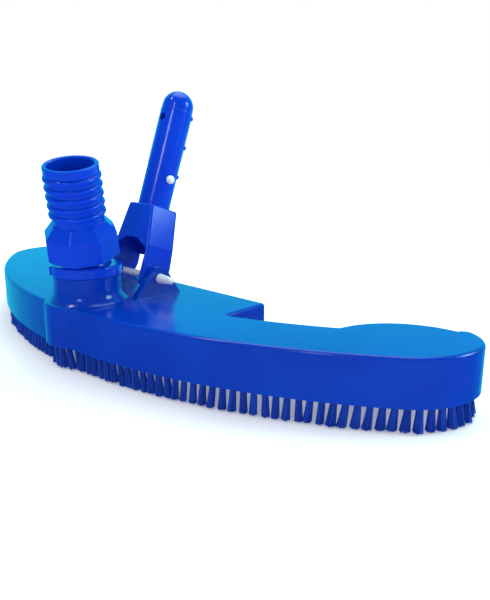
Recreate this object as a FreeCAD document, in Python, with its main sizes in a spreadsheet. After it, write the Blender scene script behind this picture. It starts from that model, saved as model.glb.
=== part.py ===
import FreeCAD, Part
import math
import os

import Sketcher
from FreeCAD import Placement, Rotation, Vector

# Crescent pool vacuum head with a bristle skirt, a ball-jointed hose coupling and a folding
# handle. Millimetres, +Z up; +Y points to the rear, where the handle stands, and the bristled
# convex side faces -Y. Every part is drawn with the neck axis at x = y = 0 and the bristle tips at
# z = 0. At the end all parts move together, so that the origin is in the middle of the footprint.

doc = FreeCAD.newDocument("pool_head")

# ------------------------------------------------------------------ driving dimensions

SIZES = [
    ("footprint_middle", 41.45, "middle of the whole footprint behind the neck axis"),
    # heights of the head
    ("skirt_bottom", 15.0, "underside of the skirt above the bristle tips"),
    ("top_level", 43.0, "flat top of the head"),
    ("wall", 3.0, "wall of the head shell"),
    ("edge_round", 2.2, "rounding of the top edge"),
    ("corner_round", 2.4, "rounding of the upright corners"),
    ("crease_round", 0.6, "rounding in the sharp inward creases"),
    # plan of the crescent, right half
    ("front_radius", 373.0, "convex front arc"),
    ("front_centre", 347.5, "y of the front arc's centre"),
    ("rear_radius", 328.5, "concave rear arc"),
    ("rear_centre", 351.9, "y of the rear arc's centre"),
    ("shoulder_angle", 36.6, "where the front arc turns into the shoulder"),
    ("shoulder_radius", 48.6, "shoulder arc of the wing"),
    ("tip_angle", 5.7, "direction from the shoulder's centre to the tip's"),
    ("tip_radius", 29.8, "arc of the wing tip"),
    ("nose_angle", 64.0, "where the tip arc turns into the nose"),
    ("nose_radius", 6.0, "small arc at the rear of the tip"),
    ("lobe_x", 213.8, "centre of the rear lobe"),
    ("lobe_y", 63.7, "centre of the rear lobe"),
    ("lobe_radius", 48.7, "arc of the rear lobe"),
    ("block_rear", 79.3, "rear face of the centre block"),
    ("block_half_front", 98.8, "half width of the block where it leaves the arc"),
    ("block_half_rear", 95.4, "half width of the block at its rear face"),
    ("bump_radius", 30.1, "upright bulge in front of the neck"),
    # neck, ring, ball
    ("neck_radius", 22.8, "outside of the neck"),
    ("neck_rise", 17.2, "neck rim above the top"),
    ("flare_rise", 8.5, "height of the flare at the neck's foot"),
    ("flare_reach", 4.2, "how far the flare spreads"),
    ("neck_bore", 20.6, "bore that takes the seat and the ring's skirt"),
    ("shelf_rise", 3.2, "shelf that carries the seat, above the top"),
    ("duct_radius", 15.5, "water passage through the shelf"),
    ("ball_rise", 18.0, "ball centre above the top"),
    ("ball_radius", 18.5, "ball of the hose coupling"),
    ("ball_cut", 12.5, "flat foot of the ball below its centre"),
    ("running_fit", 0.05, "radial clearance of every running fit"),
    ("ring_radius", 23.8, "outside of the retaining ring"),
    ("ring_foot", 17.5, "underside of the ring's flange above the top"),
    ("ring_rise", 25.0, "top of the ring above the head's top"),
    ("grip_proud", 1.0, "how far a grip block stands out of the ring"),
    ("grip_width", 3.6, "width of a grip block"),
    ("seal_wire", 0.9, "section radius of the O-ring"),
    # hose coupling, along its own axis from the ball centre
    ("lean", 16.6, "tilt of the coupling at rest"),
    ("lean_heading", 42.7, "heading of the tilt, from -Y towards +X"),
    ("stem_radius", 13.4, "stem between ball and grip"),
    ("throat_radius", 11.0, "narrowest bore"),
    ("grip_foot", 15.6, "underside of the octagon"),
    ("grip_top", 31.4, "top of the octagon's upright faces"),
    ("grip_radius", 25.4, "corner radius of the octagon at its foot"),
    ("grip_shoulder", 24.7, "corner radius of the octagon at its top"),
    ("grip_spin", -3.0, "turn of the octagon about the coupling's axis"),
    ("grip_corner", 2.2, "rounding of the octagon's corners"),
    ("grip_soft", 1.2, "rounding of the octagon's shoulder"),
    ("grip_bevel", 1.2, "turned bevel under the octagon"),
    ("cone_top", 38.7, "end of the sloping facets"),
    ("cone_radius", 18.4, "corner radius where the facets end"),
    ("tail_valley", 16.7, "tail between two ribs"),
    ("tail_crest", 18.6, "top of a rib"),
    ("tail_bore", 14.8, "bore of the tail"),
    ("first_rib", 45.3, "lowest rib"),
    ("rib_pitch", 6.03, "from rib to rib"),
    ("rib_count", 5.0, "ribs on the tail"),
    ("rib_half", 1.85, "half the width of a rib"),
    ("mouth_radius", 17.7, "plain band at the mouth"),
    ("mouth_end", 77.4, "mouth of the tail"),
    # lugs and pivot
    ("pin_y", 41.3, "pivot axis"),
    ("pin_rise", 12.2, "pivot axis above the top"),
    ("pin_radius", 2.6, "shank of the pin"),
    ("pin_head", 3.6, "head of the pin next to the lug"),
    ("pin_nose", 2.7, "rounded end of the pin's head"),
    ("pin_reach", 11.0, "straight taper of the pin's head"),
    ("lug_inner", 22.6, "inner face of a lug from the middle"),
    ("lug_outer", 28.3, "outer face of a lug from the middle"),
    ("lug_front", 19.0, "front of the lug's foot"),
    ("lug_rear", 59.7, "rear of the lug's foot"),
    ("lug_round", 8.2, "rounding over the pin"),
    # handle, along its own axis from the pin
    ("handle_lean", 19.0, "rearward lean of the handle at rest"),
    ("fork_front", 12.0, "front face from the pin axis"),
    ("fork_rear", 13.0, "rear face from the pin axis"),
    ("fork_top", 50.5, "top of the fork"),
    ("fork_half_top", 14.0, "half width at the top"),
    ("fork_half_foot", 21.9, "half width of the arms"),
    ("fork_bend", 21.5, "height where the sides start to flare"),
    ("fork_upright", 8.5, "height where the flared sides turn upright"),
    ("fork_corner", 2.6, "rounding of the fork's upright edges"),
    ("fork_soft", 1.5, "rounding of the fork's top edges"),
    ("fork_half_bend", 20.3, "half width at that height"),
    ("fork_foot", 7.5, "arms below the pin axis"),
    ("fork_wall", 2.5, "wall of the fork"),
    ("arch_rise", 25.0, "crown of the front arch"),
    ("arch_half", 6.5, "half width of the crown"),
    ("arch_shoulder", 18.5, "height where the arch meets the arms"),
    ("window_rise", 15.0, "top of the rear opening"),
    ("stub_offset", 0.5, "stub axis behind the pin axis"),
    ("stub_radius", 11.65, "outside of the pole stub"),
    ("stub_bore", 9.0, "inside of the pole stub"),
    ("stub_top", 137.6, "tip of the stub"),
    ("button_rise", 71.7, "locking buttons above the pin"),
    ("button_radius", 3.1, "locking button"),
    ("button_tip", 15.0, "tip of a button from the stub's axis"),
    ("lead_in", 122.6, "start of the slimmer lead-in at the tip"),
    ("lead_radius", 11.35, "outside of the lead-in and its dome"),
    ("spare_rise", 115.3, "empty hole above the pin"),
    ("spare_radius", 2.9, "empty hole in the front of the stub"),
    ("nub_radius", 1.8, "rattle nubs on the stub"),
    ("nub_proud", 1.3, "how far a nub stands out of the stub"),
    ("nub_rise", 76.0, "lowest pair of nubs above the pin"),
    ("nub_pitch", 22.25, "from nub to nub"),
    ("leaf_thick", 0.9, "leaf of the spring clip"),
    ("leaf_width", 6.0, "width of the leaf"),
    # underside
    ("plate_thick", 5.0, "brush plate"),
    ("plate_gap", 0.2, "gap between the plate and the shell"),
    ("tuft_inset", 5.9, "tuft row from the outside of the skirt"),
    ("tuft_pitch", 6.3, "from tuft to tuft"),
    ("tuft_tip", 2.5, "radius of a tuft at the floor"),
    ("tuft_root", 1.7, "radius of a tuft in the plate"),
    ("tuft_depth", 3.4, "depth of a tuft hole"),
    ("boss_radius", 4.4, "screw boss"),
    ("screw_shank", 1.9, "self-tapping screw"),
    ("screw_head", 3.7, "countersunk head"),
    ("screw_length", 16.0, "plate screw"),
    ("slot_radius", 350.0, "middle of the suction slots"),
    ("slot_width", 14.0, "width of a suction slot"),
    ("ballast_x", 210.0, "ballast weight"),
    ("ballast_y", 84.0, "ballast weight"),
    ("ballast_radius", 19.0, "ballast weight"),
    ("ballast_thick", 11.0, "ballast weight"),
]

sheet = doc.addObject("Spreadsheet::Sheet", "sizes")
for row, (alias, number, meaning) in enumerate(SIZES, start=1):
    sheet.set(f"A{row}", meaning)
    sheet.set(f"B{row}", str(number))
    sheet.setAlias(f"B{row}", alias)
doc.recompute()


def size(alias):
    return float(sheet.get(alias))


TOP = size("top_level")
SKIRT = size("skirt_bottom")
FIT = size("running_fit")
ROOF = TOP - size("wall")
BALL = TOP + size("ball_rise")

# The handle's own frame stands on the pin axis with +Z along the stub; the coupling's own frame
# starts at the ball centre with +Z along the hose.
HANDLE = Placement(
    Vector(0, size("pin_y"), TOP + size("pin_rise")),
    Rotation(Vector(1, 0, 0), -size("handle_lean")),
)
HEADING = math.radians(size("lean_heading"))
COUPLING = Placement(
    Vector(0, 0, BALL),
    Rotation(Vector(math.cos(HEADING), math.sin(HEADING), 0), size("lean")),
)

# ------------------------------------------------------------------ plane geometry


def polar(centre, radius, degrees):
    angle = math.radians(degrees)
    return Vector(centre.x + radius * math.cos(angle), centre.y + radius * math.sin(angle), 0)


def angle_of(centre, point):
    return math.atan2(point.y - centre.y, point.x - centre.x)


def line(start, end):
    return Part.LineSegment(start, end)


def arc(centre, radius, start, end):
    """Counter-clockwise arc between two points that lie on the circle."""
    circle = Part.Circle(centre, Vector(0, 0, 1), radius)
    first = angle_of(centre, start)
    last = angle_of(centre, end)
    if last < first:
        last += 2 * math.pi
    return Part.ArcOfCircle(circle, first, last)


def meet(centre_a, radius_a, centre_b, radius_b, side):
    """Crossing of two circles; side +1 is to the left of the way from a to b."""
    way = centre_b - centre_a
    gap = way.Length
    along = (gap**2 + radius_a**2 - radius_b**2) / (2 * gap)
    across = math.sqrt(radius_a**2 - along**2)
    unit = way / gap
    return centre_a + unit * along + Vector(-unit.y, unit.x, 0) * across * side


def mirrored(curves):
    """The same curves on the other side of the YZ plane, in reverse order."""
    flip = FreeCAD.Matrix(-1, 0, 0, 0, 0, 1, 0, 0, 0, 0, 1, 0)
    result = []
    for curve in reversed(curves):
        start, end = curve.StartPoint, curve.EndPoint
        start, end = flip.multVec(start), flip.multVec(end)
        if isinstance(curve, Part.ArcOfCircle):
            result.append(arc(flip.multVec(curve.Center), curve.Radius, end, start))
        else:
            result.append(line(end, start))
    return result


def crescent_half(inset):
    """Right half of the crescent, from the middle of the front to the middle of the rear.

    An inset moves every side inwards: convex arcs shrink and the concave rear arc grows.
    """
    front_centre = Vector(0, size("front_centre"), 0)
    front_radius = size("front_radius") - inset
    rear_centre = Vector(0, size("rear_centre"), 0)
    rear_radius = size("rear_radius") + inset
    bump = size("bump_radius") - inset
    origin = Vector(0, 0, 0)

    shoulder_span = size("front_radius") - size("shoulder_radius")
    shoulder_centre = polar(front_centre, shoulder_span, size("shoulder_angle") - 90)
    tip_span = size("shoulder_radius") - size("tip_radius")
    tip_centre = polar(shoulder_centre, tip_span, size("tip_angle"))
    nose_span = size("tip_radius") - size("nose_radius")
    nose_centre = polar(tip_centre, nose_span, size("nose_angle"))
    lobe_centre = Vector(size("lobe_x"), size("lobe_y"), 0)
    shoulder = size("shoulder_radius") - inset
    tip = size("tip_radius") - inset
    nose = size("nose_radius") - inset
    lobe = size("lobe_radius") - inset

    bump_front = Vector(0, -bump, 0)
    crease = meet(origin, bump, front_centre, front_radius, -1)
    shoulder_start = polar(front_centre, front_radius, size("shoulder_angle") - 90)
    tip_start = polar(shoulder_centre, shoulder, size("tip_angle"))
    curves = [
        arc(origin, bump, bump_front, crease),
        arc(front_centre, front_radius, crease, shoulder_start),
        arc(shoulder_centre, shoulder, shoulder_start, tip_start),
    ]
    if nose > 1:
        nose_start = polar(tip_centre, tip, size("nose_angle"))
        notch = meet(nose_centre, nose, lobe_centre, lobe, -1)
        curves.append(arc(tip_centre, tip, tip_start, nose_start))
        curves.append(arc(nose_centre, nose, nose_start, notch))
    else:
        notch = meet(tip_centre, tip, lobe_centre, lobe, 1)
        curves.append(arc(tip_centre, tip, tip_start, notch))
    root = meet(rear_centre, rear_radius, lobe_centre, lobe, -1)
    curves.append(arc(lobe_centre, lobe, notch, root))

    half_front = size("block_half_front") - inset
    half_rear = size("block_half_rear") - inset
    rear = size("block_rear") - inset
    rise = math.sqrt(rear_radius**2 - half_front**2)
    block_foot = Vector(half_front, rear_centre.y - rise, 0)
    block_corner = Vector(half_rear, rear, 0)
    rear_arc = arc(rear_centre, rear_radius, block_foot, root)
    curves.append(rear_arc)
    curves.append(line(block_foot, block_corner))
    curves.append(line(block_corner, Vector(0, rear, 0)))
    return curves


def crescent(inset):
    half = crescent_half(inset)
    return half + mirrored(half)


# ------------------------------------------------------------------ document helpers


def new_body(label):
    body = doc.addObject("PartDesign::Body", label)
    body.Label = label
    return body


def new_sketch(body, name, plane="XY_Plane", lift=None):
    """A sketch on one of the body's origin planes, raised along its normal."""
    sketch = body.newObject("Sketcher::SketchObject", name)
    support = next(item for item in body.Origin.OriginFeatures if item.Role == plane)
    sketch.AttachmentSupport = [(support, "")]
    sketch.MapMode = "FlatFace"
    if lift:
        sketch.setExpression("AttachmentOffset.Base.z", lift)
    doc.recompute()
    return sketch


def draw(sketch, curves):
    for curve in curves:
        sketch.addGeometry(curve, False)


def circle(sketch, centre, alias):
    """A circle whose radius is bound to one cell, or to an expression of cells."""
    index = sketch.addGeometry(Part.Circle(centre, Vector(0, 0, 1), 1), False)
    rule = sketch.addConstraint(Sketcher.Constraint("Radius", index, 1))
    sketch.setExpression(f"Constraints[{rule}]", alias)


def polygon(sketch, points):
    for start, end in zip(points, points[1:] + points[:1]):
        sketch.addGeometry(line(start, end), False)


def pad(body, sketch, name, length, reverse=False, middle=False):
    made = body.newObject("PartDesign::Pad", name)
    made.Profile = sketch
    made.setExpression("Length", length)
    made.Reversed = reverse
    made.Midplane = middle
    doc.recompute()
    return made


def volume_of(body):
    return body.Shape.Volume


def pocket(body, sketch, name, length, reverse=False, middle=False):
    before = volume_of(body)
    made = body.newObject("PartDesign::Pocket", name)
    made.Profile = sketch
    made.setExpression("Length", length)
    made.Reversed = reverse
    made.Midplane = middle
    doc.recompute()
    if volume_of(body) >= before - 0.01:
        raise RuntimeError(f"{name} cuts nothing")
    return made


def turn(body, sketch, name, kind="PartDesign::Revolution"):
    """Turn a half profile, drawn on the XZ plane, once round the body's Z axis."""
    before = volume_of(body) if kind == "PartDesign::Groove" else None
    made = body.newObject(kind, name)
    made.Profile = sketch
    made.ReferenceAxis = (sketch, ["V_Axis"])
    made.Angle = 360
    doc.recompute()
    if before is not None and volume_of(body) >= before - 0.01:
        raise RuntimeError(f"{name} cuts nothing")
    return made


def edge_names(shape, test):
    return [f"Edge{i}" for i, edge in enumerate(shape.Edges, start=1) if test(edge)]


def upright_over(points):
    """Test for an upright edge over one of some plan points or their mirror images."""

    def test(edge):
        first, last = edge.Vertexes[0].Point, edge.Vertexes[-1].Point
        if math.hypot(first.x - last.x, first.y - last.y) > 1e-6:
            return False
        return any(math.hypot(abs(first.x) - p.x, first.y - p.y) < 0.01 for p in points)

    return test


def lies_at(level):
    """Test for an edge that lies flat at one height."""

    def test(edge):
        box = edge.BoundBox
        return abs(box.ZMin - level) < 1e-5 and abs(box.ZMax - level) < 1e-5

    return test


def rim_of(radius, level):
    """Test for a circular edge of one radius at one height."""

    def test(edge):
        curve = edge.Curve
        round_edge = isinstance(curve, Part.Circle)
        return round_edge and abs(curve.Radius - radius) < 1e-4 and lies_at(level)(edge)

    return test


def dress(body, kind, name, test, alias_name, alias):
    base = body.Tip
    names = edge_names(base.Shape, test)
    if not names:
        raise RuntimeError(f"{name} finds no edge")
    made = body.newObject(kind, name)
    made.Base = (base, names)
    made.setExpression(alias_name, alias)
    doc.recompute()
    return made


def round_edges(body, name, test, radius):
    return dress(body, "PartDesign::Fillet", name, test, "Radius", radius)


def bevel_edges(body, name, test, width):
    return dress(body, "PartDesign::Chamfer", name, test, "Size", width)


def plain_part(label, shape):
    made = doc.addObject("Part::Feature", label)
    made.Label = label
    made.Shape = shape
    return made


# ------------------------------------------------------------------ head shell


def boss_places():
    """Screw bosses: three pairs along the wings and one pair in the rear block."""
    centre = Vector(0, size("front_centre") + 2.5, 0)
    places = [Vector(78, 66, 0), Vector(-78, 66, 0)]
    for degrees in (12, 24, 33):
        for side in (-1, 1):
            places.append(polar(centre, size("slot_radius"), -90 + side * degrees))
    return places


def ballast_holes(side):
    centre = Vector(side * size("ballast_x"), size("ballast_y"), 0)
    return [polar(centre, 11, 90 + side * 20), polar(centre, 11, 270 + side * 20)]


def lug_profile(sketch):
    """Side view of a lug: a long front slope, a short rear slope and a round top."""
    pivot = Vector(size("pin_y"), TOP + size("pin_rise"), 0)
    radius = size("lug_round")
    foot = TOP - 1
    front = Vector(size("lug_front"), foot, 0)
    rear = Vector(size("lug_rear"), foot, 0)

    def touch(point, side):
        way = pivot - point
        turn_by = math.asin(radius / way.Length) * side
        length = math.sqrt(way.Length**2 - radius**2)
        heading = math.atan2(way.y, way.x) + turn_by
        return point + Vector(math.cos(heading), math.sin(heading), 0) * length

    front_touch = touch(front, 1)
    rear_touch = touch(rear, -1)
    draw(sketch, [
        line(front, front_touch),
        arc(pivot, radius, rear_touch, front_touch),
        line(rear_touch, rear),
        line(rear, front),
    ])


def make_head_shell():
    body = new_body("head_shell")
    plan = new_sketch(body, "shell_plan", lift="sizes.skirt_bottom")
    draw(plan, crescent(0))
    pad(body, plan, "shell_block", "sizes.top_level - sizes.skirt_bottom")

    front_bump, _, _, _, nose, lobe, _, flank, _ = crescent_half(0)
    creases = [front_bump.EndPoint, nose.EndPoint]
    corners = [flank.EndPoint, flank.StartPoint, lobe.EndPoint]
    round_edges(body, "crease_rounding", upright_over(creases), "sizes.crease_round")
    round_edges(body, "corner_rounding", upright_over(corners), "sizes.corner_round")
    round_edges(body, "top_rounding", lies_at(TOP), "sizes.edge_round")

    cavity = new_sketch(body, "cavity_plan", lift="sizes.skirt_bottom")
    draw(cavity, crescent(size("wall")))
    depth = "sizes.top_level - sizes.wall - sizes.skirt_bottom"
    pocket(body, cavity, "cavity", depth, reverse=True)

    add_neck(body)
    add_lugs(body)
    add_bosses(body)
    return body


def add_neck(body):
    """The flared neck, turned, with the bore for the seat and the ring."""
    neck = new_sketch(body, "neck_profile", plane="XZ_Plane")
    outer = size("neck_radius")
    reach = size("flare_reach")
    flare = size("flare_rise")
    sweep = (flare**2 + reach**2) / (2 * reach)
    rim = TOP + size("neck_rise")
    flare_top = Vector(outer, TOP + flare, 0)
    flare_foot = Vector(outer + reach, TOP, 0)
    root = TOP - size("wall") / 2
    middle = math.asin(flare / sweep) / 2
    flare_mid = flare_top + Vector(sweep * (1 - math.cos(middle)), -sweep * math.sin(middle), 0)
    draw(neck, [
        line(Vector(0, root, 0), Vector(0, rim, 0)),
        line(Vector(0, rim, 0), Vector(outer, rim, 0)),
        line(Vector(outer, rim, 0), flare_top),
        Part.Arc(flare_top, flare_mid, flare_foot),
        line(flare_foot, Vector(outer + reach, root, 0)),
        line(Vector(outer + reach, root, 0), Vector(0, root, 0)),
    ])
    turn(body, neck, "neck")

    duct = new_sketch(body, "duct_profile", plane="XZ_Plane")
    shelf = TOP + size("shelf_rise")
    polygon(duct, [
        Vector(0, ROOF - 1, 0),
        Vector(size("duct_radius"), ROOF - 1, 0),
        Vector(size("duct_radius"), shelf, 0),
        Vector(size("neck_bore"), shelf, 0),
        Vector(size("neck_bore"), rim + 1, 0),
        Vector(0, rim + 1, 0),
    ])
    turn(body, duct, "duct", kind="PartDesign::Groove")


def add_lugs(body):
    """Two lugs on the top with one through hole for the pin."""
    for side, lift in (("right", "sizes.lug_inner"), ("left", "-sizes.lug_outer")):
        profile = new_sketch(body, f"{side}_lug_profile", plane="YZ_Plane", lift=lift)
        lug_profile(profile)
        pad(body, profile, f"{side}_lug", "sizes.lug_outer - sizes.lug_inner")
    hole = new_sketch(body, "pin_hole_profile", plane="YZ_Plane")
    circle(hole, Vector(size("pin_y"), TOP + size("pin_rise"), 0), "sizes.pin_radius + 0.01")
    pocket(body, hole, "pin_hole", "2 * sizes.lug_outer + 4", middle=True)


def add_bosses(body):
    """Bosses from the roof down to the brush plate, and short ones for the ballast."""
    wide = new_sketch(body, "boss_plan", lift="sizes.skirt_bottom + sizes.plate_thick")
    for place in boss_places():
        circle(wide, place, "sizes.boss_radius")
    depth = "sizes.top_level - 1 - sizes.skirt_bottom - sizes.plate_thick"
    pad(body, wide, "bosses", depth)
    short = new_sketch(body, "ballast_boss_plan", lift="sizes.top_level - sizes.wall - 2")
    for side in (-1, 1):
        for place in ballast_holes(side):
            circle(short, place, "sizes.boss_radius - 0.6")
    pad(body, short, "ballast_bosses", "3")
    pilot = new_sketch(body, "pilot_plan", lift="sizes.skirt_bottom + sizes.plate_thick")
    for place in boss_places():
        circle(pilot, place, "sizes.screw_shank + 0.02")
    pocket(body, pilot, "pilot_holes", "sizes.screw_length - 3", reverse=True)
    blind = new_sketch(body, "ballast_pilot_plan", lift="sizes.top_level - sizes.wall - 2")
    for side in (-1, 1):
        for place in ballast_holes(side):
            circle(blind, place, "sizes.screw_shank + 0.02")
    pocket(body, blind, "ballast_pilots", "3.5", reverse=True)


# ------------------------------------------------------------------ underside


def tuft_rows():
    """Places one pitch apart along the inset outline of the right half.

    The first row follows the bump and the front arc; the second goes round the wing's end.
    """
    outline = crescent_half(size("tuft_inset"))
    front, end = outline[:2], outline[2:-3]
    return spaced(front), spaced(end)


def spaced(curves):
    """Points at an even pitch along a chain of curves, half a pitch in from both ends."""
    total = sum(curve.length() for curve in curves)
    count = round(total / size("tuft_pitch"))
    points = []
    for index in range(count):
        run = (index + 0.5) * total / count
        for curve in curves:
            if run <= curve.length():
                break
            run -= curve.length()
        points.append(curve.value(curve.parameterAtDistance(run, curve.FirstParameter)))
    return points


def flipped(points):
    return [Vector(-p.x, p.y, 0) for p in points]


def make_brush_plate():
    """Plate that closes the underside: suction slots, tuft holes and countersunk screw holes."""
    body = new_body("brush_plate")
    plan = new_sketch(body, "plate_plan", lift="sizes.skirt_bottom")
    draw(plan, crescent(size("wall") + size("plate_gap")))
    pad(body, plan, "plate", "sizes.plate_thick")

    slots = new_sketch(body, "slot_plan", lift="sizes.skirt_bottom")
    centre = Vector(0, size("front_centre") + 2.5, 0)
    half = size("slot_width") / 2
    for middle, reach in ((0, 9.4), (-18, 3.6), (18, 3.6), (-28.6, 2.4), (28.6, 2.4)):
        first, last = -90 + middle - reach, -90 + middle + reach
        outer = size("slot_radius") + half
        inner = size("slot_radius") - half
        a, b = polar(centre, outer, first), polar(centre, outer, last)
        c, d = polar(centre, inner, last), polar(centre, inner, first)
        draw(slots, [
            arc(centre, outer, a, b),
            arc(polar(centre, size("slot_radius"), last), half, b, c),
            arc(centre, inner, d, c),
            arc(polar(centre, size("slot_radius"), first), half, d, a),
        ])
    pocket(body, slots, "suction_slots", "sizes.plate_thick + 1", reverse=True)

    holes = new_sketch(body, "tuft_hole_plan", lift="sizes.skirt_bottom")
    front, end = tuft_rows()
    for place in front + flipped(front) + end + flipped(end):
        circle(holes, place, "sizes.tuft_root + 0.2")
    pocket(body, holes, "tuft_holes", "sizes.tuft_depth", reverse=True)

    screw_holes = new_sketch(body, "screw_hole_plan", lift="sizes.skirt_bottom")
    for place in boss_places():
        circle(screw_holes, place, "sizes.screw_shank + 0.2")
    pocket(body, screw_holes, "screw_holes", "sizes.plate_thick + 1", reverse=True)
    hole_rim = rim_of(size("screw_shank") + 0.2, SKIRT)
    bevel_edges(body, "countersinks", hole_rim, "sizes.screw_head - sizes.screw_shank")
    return body


def tuft(place):
    low = Vector(place.x, place.y, 0)
    height = SKIRT + size("tuft_depth") - 0.1
    return Part.makeCone(size("tuft_tip"), size("tuft_root"), height, low)


def make_tufts():
    """The tufts in three groups: the front, and the rows round the two ends."""
    front, end = tuft_rows()
    groups = {
        "front_tufts": front + flipped(front),
        "right_end_tufts": end,
        "left_end_tufts": flipped(end),
    }
    parts = []
    for label, places in groups.items():
        parts.append(plain_part(label, Part.makeCompound([tuft(place) for place in places])))
    return parts


def screw(length):
    """Countersunk self-tapping screw, head down, with its head face at z = 0."""
    head = size("screw_head")
    shank = size("screw_shank")
    sink = head - shank
    profile = Part.makePolygon([
        Vector(0, 0, 0),
        Vector(head, 0, 0),
        Vector(shank, 0, sink),
        Vector(shank, 0, length - 2.5),
        Vector(0, 0, length),
        Vector(0, 0, 0),
    ])
    solid = Part.Face(profile).revolve(Vector(0, 0, 0), Vector(0, 0, 1), 360)
    recess = Part.makeBox(1.0, 4.4, 1.2, Vector(-0.5, -2.2, -0.1))
    cross = Part.makeBox(4.4, 1.0, 1.2, Vector(-2.2, -0.5, -0.1))
    return solid.cut(recess).cut(cross)


def make_screws():
    plate = []
    for place in boss_places():
        one = screw(size("screw_length"))
        one.translate(Vector(place.x, place.y, SKIRT))
        plate.append(one)
    ballast = []
    foot = ROOF - 2 - size("ballast_thick")
    for side in (-1, 1):
        for place in ballast_holes(side):
            one = screw(size("ballast_thick") + 3)
            one.translate(Vector(place.x, place.y, foot))
            ballast.append(one)
    return [
        plain_part("plate_screws", Part.makeCompound(plate)),
        plain_part("ballast_screws", Part.makeCompound(ballast)),
    ]


def make_ballast(label, side):
    """Round cast weight with two countersunk holes, hung under the roof of a wing."""
    body = new_body(label)
    lift = "sizes.top_level - sizes.wall - 2 - sizes.ballast_thick"
    plan = new_sketch(body, f"{label}_plan", lift=lift)
    circle(plan, Vector(side * size("ballast_x"), size("ballast_y"), 0), "sizes.ballast_radius")
    pad(body, plan, f"{label}_disc", "sizes.ballast_thick")
    holes = new_sketch(body, f"{label}_holes", lift=lift)
    for place in ballast_holes(side):
        circle(holes, place, "sizes.screw_shank + 0.2")
    pocket(body, holes, f"{label}_bores", "sizes.ballast_thick + 1", reverse=True)
    hole_rim = rim_of(size("screw_shank") + 0.2, ROOF - 2 - size("ballast_thick"))
    bevel_edges(body, f"{label}_sinks", hole_rim, "sizes.screw_head - sizes.screw_shank")
    return body


# ------------------------------------------------------------------ ring, seat, seal


def sphere_point(radius, height):
    """Point of the ball's circle, in the XZ plane, at a height from the ball centre."""
    return Vector(math.sqrt(radius**2 - height**2), BALL + height, 0)


def sphere_arc(radius, low, high):
    first, last = sphere_point(radius, low), sphere_point(radius, high)
    middle = sphere_point(radius, (low + high) / 2)
    return Part.Arc(first, middle, last)


def make_retaining_ring():
    """Flanged ring whose skirt goes into the neck and whose bore closes over the ball."""
    body = new_body("retaining_ring")
    profile = new_sketch(body, "ring_profile", plane="XZ_Plane")
    ball = size("ball_radius") + FIT
    outer = size("ring_radius")
    skirt = size("neck_bore") - 0.1
    low = TOP + 14.1
    foot = TOP + size("ring_foot")
    top = TOP + size("ring_rise")
    lip = sphere_point(ball, top - BALL)
    draw(profile, [
        line(Vector(ball, low, 0), Vector(skirt, low, 0)),
        line(Vector(skirt, low, 0), Vector(skirt, foot, 0)),
        line(Vector(skirt, foot, 0), Vector(outer - 0.6, foot, 0)),
        line(Vector(outer - 0.6, foot, 0), Vector(outer, foot + 0.6, 0)),
        line(Vector(outer, foot + 0.6, 0), Vector(outer, top - 1, 0)),
        line(Vector(outer, top - 1, 0), Vector(outer - 1, top, 0)),
        line(Vector(outer - 1, top, 0), lip),
        sphere_arc(ball, 0, top - BALL),
        line(Vector(ball, BALL, 0), Vector(ball, low, 0)),
    ])
    turn(body, profile, "ring")

    blocks = new_sketch(body, "grip_blocks_plan", lift="sizes.top_level + sizes.ring_foot + 0.8")
    half = size("grip_width") / 2
    near, far = outer - 1.5, outer + size("grip_proud")
    for quarter in range(4):
        spin = Rotation(Vector(0, 0, 1), 90 * quarter - 22.5)
        corners = [(near, -half), (far, -half), (far, half), (near, half)]
        polygon(blocks, [spin.multVec(Vector(x, y, 0)) for x, y in corners])
    pad(body, blocks, "grip_blocks", "sizes.ring_rise - sizes.ring_foot - 1.8")
    return body


def make_ball_seat():
    """Low-friction seat ring under the ball; it turns with the ball inside the neck."""
    body = new_body("ball_seat")
    profile = new_sketch(body, "seat_profile", plane="XZ_Plane")
    ball = size("ball_radius") + FIT
    outer = size("neck_bore") - FIT
    low = TOP + size("shelf_rise") + FIT
    high = BALL - 6
    bore = math.sqrt(ball**2 - 12**2)
    draw(profile, [
        line(Vector(bore, low, 0), Vector(outer, low, 0)),
        line(Vector(outer, low, 0), Vector(outer, high, 0)),
        line(Vector(outer, high, 0), sphere_point(ball, -6)),
        sphere_arc(ball, -12, -6),
        line(Vector(bore, BALL - 12, 0), Vector(bore, low, 0)),
    ])
    turn(body, profile, "seat")
    return body


def make_ball_seal():
    """O-ring between the seat and the ring's skirt, close round the ball."""
    seal = doc.addObject("Part::Torus", "ball_seal")
    seal.Label = "ball_seal"
    drop = 5.0
    seal.setExpression("Radius2", "sizes.seal_wire")
    reach = "(sizes.ball_radius + sizes.seal_wire + sizes.running_fit)"
    seal.setExpression("Radius1", f"sqrt({reach} * {reach} - {drop * drop})")
    seal.Placement = Placement(Vector(0, 0, BALL - drop), Rotation())
    return seal


# ------------------------------------------------------------------ hose coupling


def octagon(corner_radius):
    """Closed octagon outline with rounded corners, on the coupling's axis."""
    rounding = size("grip_corner")
    half_turn = 22.5
    centres = corner_radius - rounding / math.cos(math.radians(half_turn))
    curves = []
    for corner in range(8):
        heading = size("grip_spin") + 45 * corner
        centre = polar(Vector(0, 0, 0), centres, heading)
        following = polar(Vector(0, 0, 0), centres, heading + 45)
        start = polar(centre, rounding, heading - half_turn)
        end = polar(centre, rounding, heading + half_turn)
        curves.append(arc(centre, rounding, start, end))
        curves.append(line(end, polar(following, rounding, heading + half_turn)))
    return curves


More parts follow.
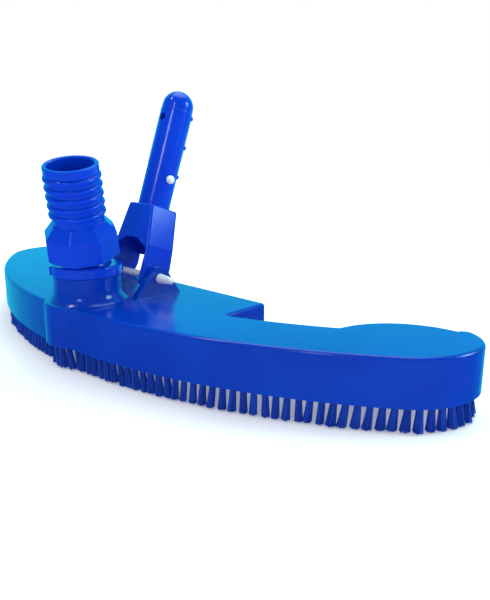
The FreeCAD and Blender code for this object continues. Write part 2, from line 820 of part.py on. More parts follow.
def make_hose_coupling():
    """Ball, octagonal grip and ribbed tail in one moulding, with the water way through it."""
    body = new_body("hose_coupling")
    add_turned_outside(body)
    add_grip(body)

    way = new_sketch(body, "water_way_profile", plane="XZ_Plane")
    throat = size("throat_radius")
    bore = size("tail_bore")
    foot = size("grip_foot")
    end = size("mouth_end")
    polygon(way, [
        Vector(0, -size("ball_cut") - 1, 0),
        Vector(throat, -size("ball_cut") - 1, 0),
        Vector(throat, foot + 2, 0),
        Vector(bore, foot + 10, 0),
        Vector(bore, end - 0.8, 0),
        Vector(bore + 0.8, end, 0),
        Vector(bore + 0.8, end + 1, 0),
        Vector(0, end + 1, 0),
    ])
    turn(body, way, "water_way", kind="PartDesign::Groove")
    body.Placement = COUPLING
    return body


def add_grip(body):
    """Octagonal grip: slightly tapered sides, then facets that slope in to the tail."""
    sections = []
    for level, radius in (("grip_foot", "grip_radius"), ("grip_top", "grip_shoulder"),
                          ("cone_top", "cone_radius")):
        section = new_sketch(body, f"{level}_plan", lift=f"sizes.{level}")
        draw(section, octagon(size(radius)))
        sections.append(section)
    grip = body.newObject("PartDesign::AdditiveLoft", "grip")
    grip.Profile = sections[0]
    grip.Sections = sections[1:]
    grip.Ruled = True
    doc.recompute()
    round_edges(body, "shoulder_rounding", lies_at(size("grip_top")), "sizes.grip_soft")

    rim = new_sketch(body, "rim_profile", plane="XZ_Plane")
    foot, corner, bevel = size("grip_foot"), size("grip_radius"), size("grip_bevel")
    polygon(rim, [
        Vector(corner - bevel, foot - 0.01, 0),
        Vector(corner + 1, foot - 0.01, 0),
        Vector(corner + 1, foot + bevel + 1, 0),
    ])
    turn(body, rim, "turned_rim", kind="PartDesign::Groove")


def add_turned_outside(body):
    """Outside of the ball, stem, tail, ribs and mouth, turned as one solid."""
    outside = new_sketch(body, "turned_profile", plane="XZ_Plane")
    ball = size("ball_radius")
    cut = size("ball_cut")
    stem = size("stem_radius")
    valley = size("tail_valley")
    crest = size("tail_crest")
    mouth = size("mouth_radius")
    end = size("mouth_end")
    low = Vector(math.sqrt(ball**2 - cut**2), -cut, 0)
    high = Vector(stem, math.sqrt(ball**2 - stem**2), 0)
    curves = [
        line(Vector(0, -cut, 0), low),
        Part.Arc(low, Vector(ball, 0, 0), high),
    ]
    half_rib = size("rib_half")
    inside_grip = size("grip_top") - 4
    points = [high, Vector(stem, inside_grip, 0), Vector(valley, inside_grip, 0)]
    for start, finish in zip(points, points[1:]):
        curves.append(line(start, finish))
    last = points[-1]
    for rib in range(int(size("rib_count"))):
        middle = size("first_rib") + rib * size("rib_pitch")
        foot = Vector(valley, middle - half_rib, 0)
        head = Vector(valley, middle + half_rib, 0)
        curves.append(line(last, foot))
        curves.append(Part.Arc(foot, Vector(crest, middle, 0), head))
        last = head
    band = last.y + 0.6
    for point in (Vector(mouth, band, 0), Vector(mouth, end - 0.6, 0), Vector(mouth - 0.6, end, 0)):
        curves.append(line(last, point))
        last = point
    curves.append(line(last, Vector(0, end, 0)))
    curves.append(line(Vector(0, end, 0), Vector(0, -cut, 0)))
    draw(outside, curves)
    turn(body, outside, "turned_outside")


# ------------------------------------------------------------------ pivot pin


def along_x(radius, start, end, y, z):
    return Part.makeCylinder(radius, end - start, Vector(start, y, z), Vector(1, 0, 0))


def pin_head(start, reach):
    """Head that tapers outwards along +X and ends in a dome, on the X axis."""
    foot, nose = size("pin_head"), size("pin_nose")
    taper = Part.makeCone(foot, nose, reach, Vector(start, 0, 0), Vector(1, 0, 0))
    return taper.fuse(Part.makeSphere(nose, Vector(start + reach, 0, 0)))


def make_pivot_parts():
    """Pin with a rounded head on the right, its push-on cap on the left, and two washers."""
    y, z = size("pin_y"), TOP + size("pin_rise")
    outer = size("lug_outer")
    inner = size("lug_inner")
    shank = along_x(size("pin_radius"), -outer - 5, outer + 1, 0, 0)
    pin = shank.fuse(pin_head(outer + FIT, size("pin_reach"))).removeSplitter()
    pin.translate(Vector(0, y, z))

    cap = pin_head(outer + FIT, 6.0)
    cap = cap.cut(along_x(size("pin_radius") + 0.01, outer - 1, outer + 5.1, 0, 0))
    cap.rotate(Vector(0, 0, 0), Vector(0, 0, 1), 180)
    cap.translate(Vector(0, y, z))

    washers = []
    for side in (-1, 1):
        first, last = sorted((side * (inner - FIT), side * (size("fork_half_foot") + FIT)))
        ring = along_x(5.0, first, last, y, z)
        washers.append(ring.cut(along_x(size("pin_radius") + FIT, first - 1, last + 1, y, z)))
    return [
        plain_part("pivot_pin", pin),
        plain_part("pin_cap", cap),
        plain_part("pivot_washers", Part.makeCompound(washers)),
    ]


# ------------------------------------------------------------------ handle


def fork_front_outline(inset, foot):
    """Front view of the fork: sides that flare out below the top and then drop upright."""
    half_foot = size("fork_half_foot") - inset
    right = [
        Vector(half_foot, foot, 0),
        Vector(half_foot, size("fork_upright"), 0),
        Vector(size("fork_half_bend") - inset, size("fork_bend"), 0),
        Vector(size("fork_half_top") - inset, size("fork_top") - inset, 0),
    ]
    return right + [Vector(-p.x, p.y, 0) for p in reversed(right)]


def fork_side_solid():
    """Side view of the fork, wide enough for both arms: flat faces and rounded feet."""
    front, rear = -size("fork_front"), size("fork_rear")
    foot, top = -size("fork_foot"), size("fork_top")
    heel = 17.0
    heel_centre = Vector(0, rear - heel, foot + heel)
    toe = 3.5
    toe_centre = Vector(0, front + toe, foot + toe)
    diagonal = math.sqrt(0.5)
    edges = [
        Part.LineSegment(Vector(0, front, top), Vector(0, front, foot + toe)),
        Part.Arc(
            Vector(0, front, foot + toe),
            toe_centre + Vector(0, -toe, -toe) * diagonal,
            Vector(0, front + toe, foot),
        ),
        Part.LineSegment(Vector(0, front + toe, foot), Vector(0, rear - heel, foot)),
        Part.Arc(
            Vector(0, rear - heel, foot),
            heel_centre + Vector(0, heel, -heel) * diagonal,
            Vector(0, rear, foot + heel),
        ),
        Part.LineSegment(Vector(0, rear, foot + heel), Vector(0, rear, top)),
        Part.LineSegment(Vector(0, rear, top), Vector(0, front, top)),
    ]
    wire = Part.Wire([edge.toShape() for edge in edges])
    solid = Part.Face(wire).extrude(Vector(80, 0, 0))
    solid.translate(Vector(-40, 0, 0))
    return solid


def prism_along_y(points, start, end):
    """Solid from front-view points (x, height), between two depths."""
    ring = [Vector(p.x, start, p.y) for p in points]
    face = Part.Face(Part.makePolygon(ring + ring[:1]))
    return face.extrude(Vector(0, end - start, 0))


def make_handle_fork():
    """Hollow fork and pole stub in one moulding, open at the front arch and the rear window."""
    wall = size("fork_wall")
    front, rear = -size("fork_front"), size("fork_rear")
    foot = -size("fork_foot")
    block = prism_along_y(fork_front_outline(0, foot), front, rear)
    block = block.makeFillet(size("fork_corner"), [e for e in block.Edges if is_fork_corner(e)])
    rim = [e for e in block.Edges if lies_at(size("fork_top"))(e)]
    block = block.makeFillet(size("fork_soft"), rim).common(fork_side_solid())

    axis = Vector(0, size("stub_offset"), 0)
    base = size("fork_top") - 1
    lead_foot = size("lead_in") - 1
    dome_rise = size("stub_top") - size("lead_radius")
    shape = block.fuse([
        Part.makeCylinder(size("stub_radius"), size("lead_in") - base, axis + Vector(0, 0, base)),
        Part.makeCylinder(size("lead_radius"), dome_rise - lead_foot, axis + Vector(0, 0, lead_foot)),
        Part.makeSphere(size("lead_radius"), axis + Vector(0, 0, dome_rise)),
    ]).removeSplitter()

    hollow = prism_along_y(fork_front_outline(wall, foot - 1), front + wall, rear - wall)
    bore = size("stub_bore")
    bore_foot = size("fork_top") - 8
    tube = Part.makeCylinder(bore, dome_rise - bore_foot, axis + Vector(0, 0, bore_foot))
    dome = Part.makeSphere(bore, axis + Vector(0, 0, dome_rise))
    shape = shape.cut([hollow, tube, dome])
    shape = shape.cut(front_arch(front)).cut(rear_window(rear))

    shape = shape.cut(along_x(size("pin_radius") + FIT, -40, 40, 0, 0))
    hole = along_x(size("button_radius") + FIT, -20, 20, axis.y, size("button_rise"))
    spare_from = axis + Vector(0, 0, size("spare_rise"))
    spare = Part.makeCylinder(size("spare_radius"), 20, spare_from, Vector(0, -1, 0))
    shape = shape.cut([hole, spare])
    shape = shape.fuse(rattle_nubs(axis)).removeSplitter()
    made = plain_part("handle_fork", shape)
    made.Placement = HANDLE
    return made


def is_fork_corner(edge):
    """Edges between the fork's front or rear face and its sides."""
    box = edge.BoundBox
    at_front = abs(box.YMin + size("fork_front")) < 1e-6
    at_rear = abs(box.YMin - size("fork_rear")) < 1e-6
    return box.YLength < 1e-6 and (at_front or at_rear) and box.ZLength > 1


def front_arch(front):
    """Opening in the front wall: a narrow crown and long sloping shoulders."""
    half = size("fork_half_foot") - size("fork_wall")
    below = -size("fork_foot") - 10
    right = [
        Vector(half, below, 0),
        Vector(half, size("arch_shoulder"), 0),
        Vector(size("arch_half"), size("arch_rise"), 0),
    ]
    points = right + [Vector(-p.x, p.y, 0) for p in reversed(right)]
    return prism_along_y(points, front - 2, front + size("fork_wall") + 3)


def rear_window(rear):
    half = size("fork_half_foot") - size("fork_wall")
    rise = size("window_rise")
    points = [(-half, -20), (half, -20), (half, rise), (-half, rise)]
    return prism_along_y([Vector(x, z, 0) for x, z in points], rear - 12, rear + 2)


def rattle_nubs(axis):
    """Three small domes up each side of the stub's back, that take up play in the pole."""
    radius = size("nub_radius")
    reach = size("stub_radius") - radius + size("nub_proud")
    nubs = []
    for side in (-1, 1):
        around = math.radians(40) * side
        for step in range(3):
            rise = size("nub_rise") + step * size("nub_pitch")
            place = Vector(reach * math.sin(around), reach * math.cos(around), rise)
            nubs.append(Part.makeSphere(radius, axis + place))
    inside = Part.makeCylinder(size("stub_bore") + 1, size("stub_top"), axis)
    return [nub.cut(inside) for nub in nubs]


def make_spring_clip():
    """V-shaped leaf inside the stub; its arms push the two buttons out."""
    body = new_body("spring_clip")
    profile = new_sketch(body, "leaf_profile", plane="XZ_Plane")
    thick = size("leaf_thick")
    tip = size("button_tip") - 8.5
    low = size("fork_top") - 4
    high = size("button_rise") + 6
    right = [Vector(2.2, low, 0), Vector(tip, size("button_rise") - 4, 0), Vector(tip, high, 0)]
    outer = [Vector(-p.x, p.y, 0) for p in reversed(right)] + [Vector(0, low - 2.2, 0)] + right
    inner = [Vector(p.x - math.copysign(thick, p.x), p.y, 0) for p in outer if p.x]
    inner.insert(3, Vector(0, low - 2.2 + 1.3 * thick, 0))
    polygon(profile, outer + list(reversed(inner)))
    pad(body, profile, "leaf", "sizes.leaf_width", middle=True)
    body.Placement = HANDLE.multiply(Placement(Vector(0, size("stub_offset"), 0), Rotation()))
    return body


def make_button(label, side):
    """Round-nosed locking button with a collar that rests on the spring leaf."""
    radius = size("button_radius")
    collar = size("button_tip") - 8.4
    straight = size("button_tip") - collar - radius
    nose = Part.makeSphere(radius, Vector(0, 0, straight))
    shape = Part.makeCylinder(radius, straight).fuse([nose, Part.makeCylinder(radius + 0.7, 1.0)])
    made = plain_part(label, shape.removeSplitter())
    place = Placement(
        Vector(side * collar, size("stub_offset"), size("button_rise")),
        Rotation(Vector(0, 1, 0), 90 * side),
    )
    made.Placement = HANDLE.multiply(place)
    return made


# ------------------------------------------------------------------ build, check, write


def build():
    parts = [make_head_shell(), make_brush_plate()]
    parts += make_tufts()
    parts += make_screws()
    parts += [make_ballast("left_ballast", -1), make_ballast("right_ballast", 1)]
    parts += [make_retaining_ring(), make_ball_seat(), make_ball_seal(), make_hose_coupling()]
    parts += make_pivot_parts()
    parts += [make_handle_fork(), make_spring_clip()]
    parts += [make_button("left_button", -1), make_button("right_button", 1)]
    to_middle = Placement(Vector(0, -size("footprint_middle"), 0), Rotation())
    for item in parts:
        item.Placement = to_middle.multiply(item.Placement)
    doc.recompute()
    return parts


def check(parts):
    for item in doc.Objects:
        if any(word in item.State for word in ("Invalid", "Error")):
            raise RuntimeError(f"{item.Label} is {item.State}")
    for item in parts:
        if item.Shape.isNull() or not item.Shape.isValid():
            raise RuntimeError(f"{item.Label} has no valid shape")


parts = build()
check(parts)
os.makedirs("parts", exist_ok=True)
for item in parts:
    item.Shape.exportStep(f"parts/{item.Label}.step")
    print(item.Label, len(item.Shape.Solids), round(item.Shape.Volume))
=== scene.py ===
import math
import random

import bpy
from mathutils import Matrix, Vector


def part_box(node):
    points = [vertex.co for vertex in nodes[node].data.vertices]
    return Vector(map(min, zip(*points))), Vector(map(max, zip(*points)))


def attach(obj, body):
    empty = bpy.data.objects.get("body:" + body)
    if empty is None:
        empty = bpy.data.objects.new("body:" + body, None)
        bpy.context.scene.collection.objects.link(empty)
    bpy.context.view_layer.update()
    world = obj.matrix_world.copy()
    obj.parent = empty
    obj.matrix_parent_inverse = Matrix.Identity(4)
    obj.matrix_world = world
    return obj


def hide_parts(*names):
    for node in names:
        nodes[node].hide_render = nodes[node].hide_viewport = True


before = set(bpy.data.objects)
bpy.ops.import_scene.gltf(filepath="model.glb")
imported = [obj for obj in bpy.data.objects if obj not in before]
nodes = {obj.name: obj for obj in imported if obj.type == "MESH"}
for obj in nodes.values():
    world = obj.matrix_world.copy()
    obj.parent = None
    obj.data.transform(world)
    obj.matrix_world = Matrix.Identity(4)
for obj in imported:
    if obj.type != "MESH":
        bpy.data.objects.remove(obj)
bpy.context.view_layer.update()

MM = 0.001

# ---------------------------------------------------------------- node helpers


class Graph:
    """A small wrapper that adds shader nodes to one material and links them."""

    def __init__(self, name):
        self.material = bpy.data.materials.new(name)
        self.material.use_nodes = True
        self.tree = self.material.node_tree
        self.shader = self.tree.nodes["Principled BSDF"]
        self.place = self.add("ShaderNodeTexCoord").outputs["Object"]

    def add(self, kind, **settings):
        node = self.tree.nodes.new(kind)
        for key, value in settings.items():
            if key in node.inputs:
                node.inputs[key].default_value = value
            else:
                setattr(node, key, value)
        return node

    def link(self, source, target):
        self.tree.links.new(source, target)
        return source

    def feed(self, socket_name, source):
        self.link(source, self.shader.inputs[socket_name])

    def stretched(self, scale):
        """Object coordinates scaled per axis."""
        mapping = self.add("ShaderNodeMapping", Scale=scale)
        self.link(self.place, mapping.inputs["Vector"])
        return mapping.outputs["Vector"]

    def noise(self, scale, detail=3.0, roughness=0.5, distortion=0.0, vector=None):
        node = self.add("ShaderNodeTexNoise", Scale=scale, Detail=detail)
        node.inputs["Roughness"].default_value = roughness
        node.inputs["Distortion"].default_value = distortion
        self.link(vector or self.place, node.inputs["Vector"])
        return node.outputs["Fac"]

    def spread(self, value, low, high, out_low, out_high):
        """Clamped linear map of a value from one range to another."""
        node = self.add("ShaderNodeMapRange")
        for name, number in (
            ("From Min", low),
            ("From Max", high),
            ("To Min", out_low),
            ("To Max", out_high),
        ):
            node.inputs[name].default_value = number
        self.link(value, node.inputs["Value"])
        return node.outputs["Result"]

    def math(self, operation, first, second):
        node = self.add("ShaderNodeMath", operation=operation)
        for socket, value in zip(node.inputs, (first, second)):
            if isinstance(value, (int, float)):
                socket.default_value = value
            else:
                self.link(value, socket)
        return node.outputs[0]

    def mix(self, factor, first, second):
        """Colour mix; each colour is a tuple or a socket."""
        node = self.add("ShaderNodeMix", data_type="RGBA")
        sockets = (node.inputs[0], node.inputs[6], node.inputs[7])
        for socket, value in zip(sockets, (factor, first, second)):
            if isinstance(value, (int, float)):
                socket.default_value = value
            elif isinstance(value, tuple):
                socket.default_value = (*value, 1.0)
            else:
                self.link(value, socket)
        return node.outputs[2]

    def bump(self, height, distance, strength=1.0, under=None):
        node = self.add("ShaderNodeBump", Strength=strength, Distance=distance)
        self.link(height, node.inputs["Height"])
        if under is not None:
            self.link(under, node.inputs["Normal"])
        return node.outputs["Normal"]

    def soft_normal(self, radius):
        """Normal with its sharp edges rounded off, as a mould leaves them."""
        node = self.add("ShaderNodeBevel", Radius=radius)
        node.samples = 4
        return node.outputs["Normal"]

    def edge_mask(self, radius):
        """1 on a sharp edge and 0 away from it."""
        rounded = self.soft_normal(radius)
        plain = self.add("ShaderNodeNewGeometry").outputs["Normal"]
        product = self.add("ShaderNodeVectorMath", operation="DOT_PRODUCT")
        self.link(rounded, product.inputs[0])
        self.link(plain, product.inputs[1])
        return self.spread(product.outputs["Value"], 1.0, 0.8, 0.0, 1.0)


# ---------------------------------------------------------------- materials


def moulded_blue(name, deep, bright, gloss):
    """Glossy injection-moulded plastic: slight flow marks, hairline scratches, and sharp edges painted
    paler as a highlight.
    """
    g = Graph(name)
    flow = g.noise(14, detail=2, distortion=1.2)
    grain = g.noise(900, detail=4, roughness=0.65)
    ripple = g.noise(46, detail=1)
    hair = g.noise(1, detail=2, vector=g.stretched((2600, 90, 900)))
    cross = g.noise(1, detail=2, vector=g.stretched((80, 2300, 900)))
    scratches = g.math("MAXIMUM", g.spread(hair, 0.69, 0.72, 0, 1), g.spread(cross, 0.7, 0.73, 0, 1))
    worn = g.math("MULTIPLY", scratches, g.spread(g.noise(22), 0.5, 0.66, 0, 1))
    edges = g.edge_mask(0.9 * MM)

    colour = g.mix(g.spread(flow, 0.3, 0.7, 0.0, 1.0), deep, bright)
    # painted highlight: the sharp edges are mixed towards a paler blue
    colour = g.mix(g.math("MULTIPLY", edges, 0.35), colour, (0.0, 0.15, 0.85))
    colour = g.mix(g.math("MULTIPLY", worn, 0.10), colour, (0.05, 0.3, 0.85))
    g.feed("Base Color", colour)
    shine = g.spread(grain, 0.3, 0.7, gloss - 0.03, gloss + 0.05)
    g.feed("Roughness", g.math("ADD", shine, g.math("MULTIPLY", worn, 0.16)))
    normal = g.bump(ripple, 0.10 * MM, 0.5, under=g.soft_normal(0.5 * MM))
    normal = g.bump(grain, 0.010 * MM, 0.6, under=normal)
    g.feed("Normal", normal)
    g.shader.inputs["IOR"].default_value = 1.49
    return g.material


def white_acetal():
    g = Graph("white_acetal")
    cloud = g.noise(300, detail=2)
    grain = g.noise(2600, detail=3)
    g.feed("Base Color", g.mix(g.spread(cloud, 0.3, 0.7, 0, 1), (0.80, 0.82, 0.84), (0.90, 0.91, 0.92)))
    g.feed("Roughness", g.spread(grain, 0.3, 0.7, 0.25, 0.42))
    g.feed("Normal", g.bump(grain, 0.01 * MM, 0.6, under=g.soft_normal(0.3 * MM)))
    g.shader.inputs["Subsurface Weight"].default_value = 0.1
    g.shader.inputs["Subsurface Radius"].default_value = (0.003, 0.003, 0.003)
    return g.material


def black_rubber():
    g = Graph("black_rubber")
    grain = g.noise(1900, detail=5, roughness=0.7)
    g.feed("Base Color", g.mix(grain, (0.012, 0.012, 0.013), (0.05, 0.05, 0.052)))
    g.feed("Roughness", g.spread(grain, 0.3, 0.7, 0.5, 0.75))
    g.feed("Normal", g.bump(grain, 0.03 * MM, 0.8))
    return g.material


def bright_steel():
    g = Graph("bright_steel")
    brushed = g.noise(1, detail=4, vector=g.stretched((500, 500, 9000)))
    g.feed("Base Color", g.mix(brushed, (0.46, 0.46, 0.47), (0.68, 0.68, 0.69)))
    g.feed("Roughness", g.spread(brushed, 0.3, 0.7, 0.22, 0.42))
    g.feed("Normal", g.bump(brushed, 0.01 * MM, 0.7, under=g.soft_normal(0.1 * MM)))
    g.shader.inputs["Metallic"].default_value = 1.0
    return g.material


def cast_weight():
    g = Graph("cast_weight")
    lumps = g.noise(420, detail=6, roughness=0.65)
    rust = g.spread(g.noise(90, detail=3), 0.55, 0.75, 0, 1)
    colour = g.mix(lumps, (0.03, 0.03, 0.032), (0.10, 0.10, 0.105))
    g.feed("Base Color", g.mix(g.math("MULTIPLY", rust, 0.4), colour, (0.16, 0.06, 0.025)))
    g.feed("Roughness", g.spread(lumps, 0.3, 0.7, 0.5, 0.8))
    g.feed("Normal", g.bump(lumps, 0.25 * MM, 0.7))
    g.shader.inputs["Metallic"].default_value = 0.6
    return g.material


def nylon_filament():
    """Each strand has its own shade of blue, and is painted darker at the root than at the tip, as
    shade under the head.
    """
    g = Graph("nylon_filament")
    strand = g.add("ShaderNodeAttribute", attribute_name="strand")
    split = g.add("ShaderNodeSeparateColor")
    g.link(strand.outputs["Color"], split.inputs["Color"])
    shade, along, tuft = split.outputs[0], split.outputs[1], split.outputs[2]
    colour = g.mix(shade, (0.0, 0.028, 0.40), (0.0, 0.085, 0.66))
    colour = g.mix(g.spread(tuft, 0, 1, 0, 0.3), colour, (0.0, 0.05, 0.52))
    # painted shade: the strands darken towards the root, under the head
    colour = g.mix(g.spread(along, 0.0, 0.4, 0.4, 0.0), colour, (0.0, 0.012, 0.18))
    colour = g.mix(g.spread(along, 0.97, 1.0, 0.0, 0.3), colour, (0.02, 0.18, 0.75))
    g.feed("Base Color", colour)
    g.feed("Roughness", g.spread(g.noise(2500, detail=2), 0.3, 0.7, 0.3, 0.45))
    return g.material


def pale_floor():
    """White sheet that glows with painted light, faintly near the head and more strongly away from it,
    until it meets the white backdrop.
    """
    g = Graph("pale_floor")
    cloud = g.noise(3, detail=4)
    g.feed("Base Color", g.mix(cloud, (0.90, 0.90, 0.91), (0.93, 0.93, 0.94)))
    g.feed("Roughness", g.spread(cloud, 0.3, 0.7, 0.6, 0.7))
    distance = g.add("ShaderNodeVectorMath", operation="LENGTH")
    g.link(g.place, distance.inputs[0])
    # painted light: the floor glows, from 0.25 near the head up to 1.0 far from it
    g.shader.inputs["Emission Color"].default_value = (1, 1, 1, 1)
    g.feed("Emission Strength", g.spread(distance.outputs["Value"], 0.15, 0.8, 0.25, 1.0))
    return g.material


# ---------------------------------------------------------------- carried-over CAD nodes


def dress(names, material):
    for name in names:
        mesh = nodes[name].data
        mesh.materials.clear()
        mesh.materials.append(material)


def dress_cad():
    shell = moulded_blue("shell_blue", (0.0, 0.030, 0.38), (0.0, 0.042, 0.45), 0.17)
    fittings = moulded_blue("fitting_blue", (0.0, 0.036, 0.54), (0.0, 0.050, 0.62), 0.17)
    inner = moulded_blue("plate_blue", (0.0, 0.025, 0.34), (0.0, 0.036, 0.42), 0.28)
    dress(["head_shell"], shell)
    dress(["retaining_ring", "hose_coupling", "handle_fork"], fittings)
    dress(["brush_plate"], inner)
    white = ["ball_seat", "left_button", "right_button", "pivot_pin", "pin_cap", "pivot_washers"]
    dress(white, white_acetal())
    dress(["ball_seal"], black_rubber())
    dress(["plate_screws", "ballast_screws", "spring_clip"], bright_steel())
    dress(["left_ballast", "right_ballast"], cast_weight())


# ---------------------------------------------------------------- bristles

STRANDS = 60
STRAND_RADIUS = 0.28 * MM
STRAND_SIDES = 4
STRAND_RINGS = 6
GOLDEN_ANGLE = 2.39996
BUNDLE_ROOT = 1.62
# The spine is the arc along the middle of the crescent, between its two end angles.
SPINE_CENTRE = Vector((0.0, 0.30855))
SPINE_RADIUS = 0.350
SPINE_END = 0.62
# Sideways lean of the tips along the row, towards +X as a share of the tuft's height, for tufts
# up to each angle (degrees) round the spine's centre.
ROW_LEANS = ((-3, 0.11), (3, 0.30), (13, 0.20), (16, 0.1), (28, 0.0), (180, -0.07))
GAPPED_STRETCH = (16, 30)
GAPPED_TIP = (2.2, 2.6)
FULL_TIP = (2.7, 3.1)


def tuft_feet(node):
    """Centres of the tufts' floor ends, read from the faces the CAD node has on the floor."""
    mesh = nodes[node].data
    groups = []
    for face in mesh.polygons:
        corners = [mesh.vertices[index].co for index in face.vertices]
        if max(corner.z for corner in corners) > 0.1 * MM:
            continue
        joined = {(round(corner.x, 6), round(corner.y, 6)) for corner in corners}
        apart = []
        for group in groups:
            if group & joined:
                joined |= group
            else:
                apart.append(group)
        groups = apart + [joined]
    centres = []
    for group in sorted(groups, key=min):
        xs = [x for x, _ in group]
        ys = [y for _, y in group]
        centres.append(Vector(((min(xs) + max(xs)) / 2, (min(ys) + max(ys)) / 2)))
    return centres


def row_angle(foot):
    return math.degrees(math.atan2(foot.x - SPINE_CENTRE.x, SPINE_CENTRE.y - foot.y))


def row_lean(foot):
    return next(lean for last, lean in ROW_LEANS if row_angle(foot) <= last)


def outward(foot):
    """Unit direction from the wing's middle line to a tuft."""
    way = foot - SPINE_CENTRE
    angle = max(-SPINE_END, min(SPINE_END, math.atan2(way.x, -way.y)))
    spine = SPINE_CENTRE + SPINE_RADIUS * Vector((math.sin(angle), -math.cos(angle)))
    return (foot - spine).normalized()


def strand(points, radius, shade, tuft_shade, mesh):
    """One filament: square tube through some points, tapering a little to the tip."""
    verts, faces, colours = mesh
    first = len(verts)
    last = len(points) - 1
    for ring, point in enumerate(points):
        along = ring / last
        size = radius * (1 - 0.15 * along)
        for side in range(STRAND_SIDES):
            angle = 2 * math.pi * (side + 0.5) / STRAND_SIDES
            verts.append(point + Vector((size * math.cos(angle), size * math.sin(angle), 0)))
            colours.append((shade, along, tuft_shade, 1.0))
    for ring in range(last):
        for side in range(STRAND_SIDES):
            a = first + ring * STRAND_SIDES + side
            b = first + ring * STRAND_SIDES + (side + 1) % STRAND_SIDES
            faces.append((a, b, b + STRAND_SIDES, a + STRAND_SIDES))
    tip = first + last * STRAND_SIDES
    faces.append(tuple(tip + side for side in reversed(range(STRAND_SIDES))))


def tuft(foot, top, dice, mesh):
    """A bundle of filaments that starts round and tight and flares towards the floor.

    The radii are in millimetres; each strand keeps its own share of the bundle's radius.
    """
    out = outward(foot)
    side = Vector((-out.y, out.x))
    low_angle, high_angle = GAPPED_STRETCH
    gapped = low_angle < row_angle(foot) < high_angle
    tip = dice.uniform(*(GAPPED_TIP if gapped else FULL_TIP))
    along_row = row_lean(foot) * top + dice.gauss(0, 0.45) * MM
    lean = out * dice.gauss(1.0, 0.3) * MM + side * along_row
    cut = dice.uniform(0.0, 0.5) * MM
    twist = dice.uniform(0, 2 * math.pi)
    tuft_shade = dice.random()
    for index in range(STRANDS):
        share = math.sqrt((index + 0.5) / STRANDS)
        angle = index * GOLDEN_ANGLE + twist
        spoke = (out * math.cos(angle) + side * math.sin(angle)) * share * MM
        stray = dice.gauss(0, 0.16) * MM
        bend = dice.uniform(1.2, 1.7)
        low = cut + dice.uniform(0, 0.45) * MM + 0.35 * MM * share
        points = []
        for ring in range(STRAND_RINGS):
            along = ring / (STRAND_RINGS - 1)
            open_up = max(0.0, (along - 0.12) / 0.88) ** bend
            reach = BUNDLE_ROOT + (tip - BUNDLE_ROOT) * open_up
            plan = foot + spoke * reach + (lean + side * stray) * open_up
            points.append(Vector((plan.x, plan.y, top + (low - top) * along)))
        strand(points, STRAND_RADIUS, dice.random(), tuft_shade, mesh)


def make_bristles(node, material, seed):
    dice = random.Random(seed)
    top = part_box(node)[1].z
    mesh_data = ([], [], [])
    for foot in tuft_feet(node):
        tuft(foot, top, dice, mesh_data)
    verts, faces, colours = mesh_data
    mesh = bpy.data.meshes.new(f"{node}_bristles")
    mesh.from_pydata(verts, [], faces)
    mesh.update()
    paint = mesh.color_attributes.new("strand", "FLOAT_COLOR", "POINT")
    paint.data.foreach_set("color", [part for colour in colours for part in colour])
    mesh.shade_smooth()
    mesh.materials.append(material)
    piece = bpy.data.objects.new(f"{node}_bristles", mesh)
    bpy.context.scene.collection.objects.link(piece)
    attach(piece, "head")
    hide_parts(node)


# ---------------------------------------------------------------- stage


def make_floor():
    half = 6.0
    drop = 0.4 * MM
    mesh = bpy.data.meshes.new("floor")
    corners = [(-half, -half), (half, -half), (half, half), (-half, half)]
    mesh.from_pydata([(x, y, -drop) for x, y in corners], [], [(0, 1, 2, 3)])
    mesh.materials.append(pale_floor())
    floor = bpy.data.objects.new("floor", mesh)
    bpy.context.scene.collection.objects.link(floor)
    floor.visible_glossy = False


def area_light(name, place, target, size, power, colour=(1, 1, 1)):
    light = bpy.data.lights.new(name, "AREA")
    light.shape = "RECTANGLE"
    light.size, light.size_y = size
    light.energy = power
    light.color = colour
    lamp = bpy.data.objects.new(name, light)
    lamp.location = place
    lamp.rotation_euler = (Vector(target) - Vector(place)).to_track_quat("-Z", "Y").to_euler()
    bpy.context.scene.collection.objects.link(lamp)
    return lamp


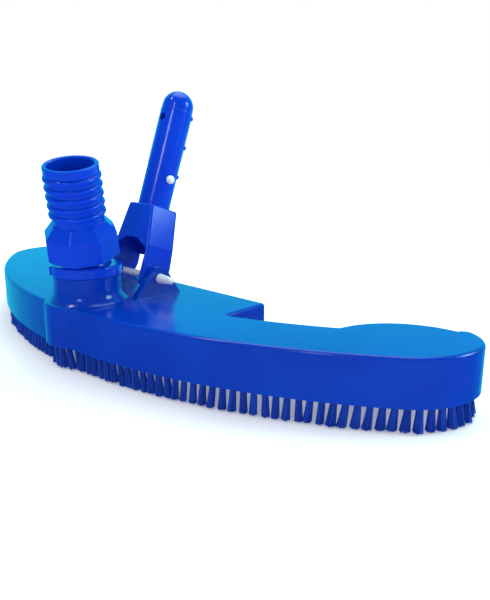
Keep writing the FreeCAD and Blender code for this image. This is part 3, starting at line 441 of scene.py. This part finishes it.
def make_world():
    """White to the camera, soft white light, and a blue studio for the reflections.

    The reflections are dark towards the camera's side and pale cyan behind the head.
    """
    world = bpy.data.worlds.new("studio")
    world.use_nodes = True
    tree = world.node_tree
    backdrop = tree.nodes["Background"]
    path = tree.nodes.new("ShaderNodeLightPath")
    place = tree.nodes.new("ShaderNodeTexCoord")
    facing = tree.nodes.new("ShaderNodeVectorMath")
    facing.operation = "DOT_PRODUCT"
    facing.inputs[1].default_value = (-0.70, 0.69, 0.18)
    tree.links.new(place.outputs["Generated"], facing.inputs[0])
    ramp = tree.nodes.new("ShaderNodeValToRGB")
    ramp.color_ramp.elements[0].position = 0.1
    ramp.color_ramp.elements[0].color = (0.0, 0.06, 0.22, 1)
    ramp.color_ramp.elements[1].position = 0.85
    ramp.color_ramp.elements[1].color = (0.04, 0.95, 1.1, 1)
    tree.links.new(facing.outputs["Value"], ramp.inputs["Fac"])

    def mixed(factor, first, second):
        node = tree.nodes.new("ShaderNodeMix")
        node.data_type = "RGBA"
        tree.links.new(factor, node.inputs[0])
        for socket, value in ((node.inputs[6], first), (node.inputs[7], second)):
            if isinstance(value, tuple):
                socket.default_value = value
            else:
                tree.links.new(value, socket)
        return node.outputs[2]

    soft = (0.56, 0.63, 0.68, 1)
    reflected = mixed(path.outputs["Is Glossy Ray"], soft, ramp.outputs["Color"])
    seen = mixed(path.outputs["Is Camera Ray"], reflected, (1, 1, 1, 1))
    tree.links.new(seen, backdrop.inputs["Color"])
    backdrop.inputs["Strength"].default_value = 1.0
    bpy.context.scene.world = world


def make_lights():
    make_world()
    area_light("overhead", (-0.1, 0.31, 1.3), (0, 0.01, 0), (1.1, 1.1), 9, (0.75, 0.95, 1.0))
    area_light("right_key", (0.9, 0.76, 0.55), (0.05, 0.01, 0.05), (0.4, 0.4), 5, (0.5, 0.95, 1.0))
    area_light("edge_strip", (-0.30, -0.59, 1.15), (0.13, -0.1, 0.04), (0.30, 0.08), 1.6)
    area_light("window", (0.5, -0.94, 0.75), (0, -0.04, 0.05), (0.12, 0.2), 1.2)


def make_camera():
    camera = bpy.data.cameras.new("camera")
    camera.lens = 36.8
    camera.sensor_width = 36.0
    camera.clip_start = 0.01
    eye = bpy.data.objects.new("camera", camera)
    turn = Matrix.Rotation(math.radians(45.26), 4, "Z")
    turn = turn @ Matrix.Rotation(math.radians(90 - 13.67), 4, "X")
    turn = turn @ Matrix.Rotation(math.radians(0.33), 4, "Z")
    eye.matrix_world = Matrix.Translation((0.3728, -0.25685, 0.1435)) @ turn
    bpy.context.scene.collection.objects.link(eye)
    bpy.context.scene.camera = eye


# ---------------------------------------------------------------- build

dress_cad()
filament = nylon_filament()
for seed, bristled in enumerate(("front_tufts", "left_end_tufts", "right_end_tufts"), start=7):
    make_bristles(bristled, filament, seed)
make_floor()
make_lights()
make_camera()
bpy.context.scene.view_settings.view_transform = "Standard"
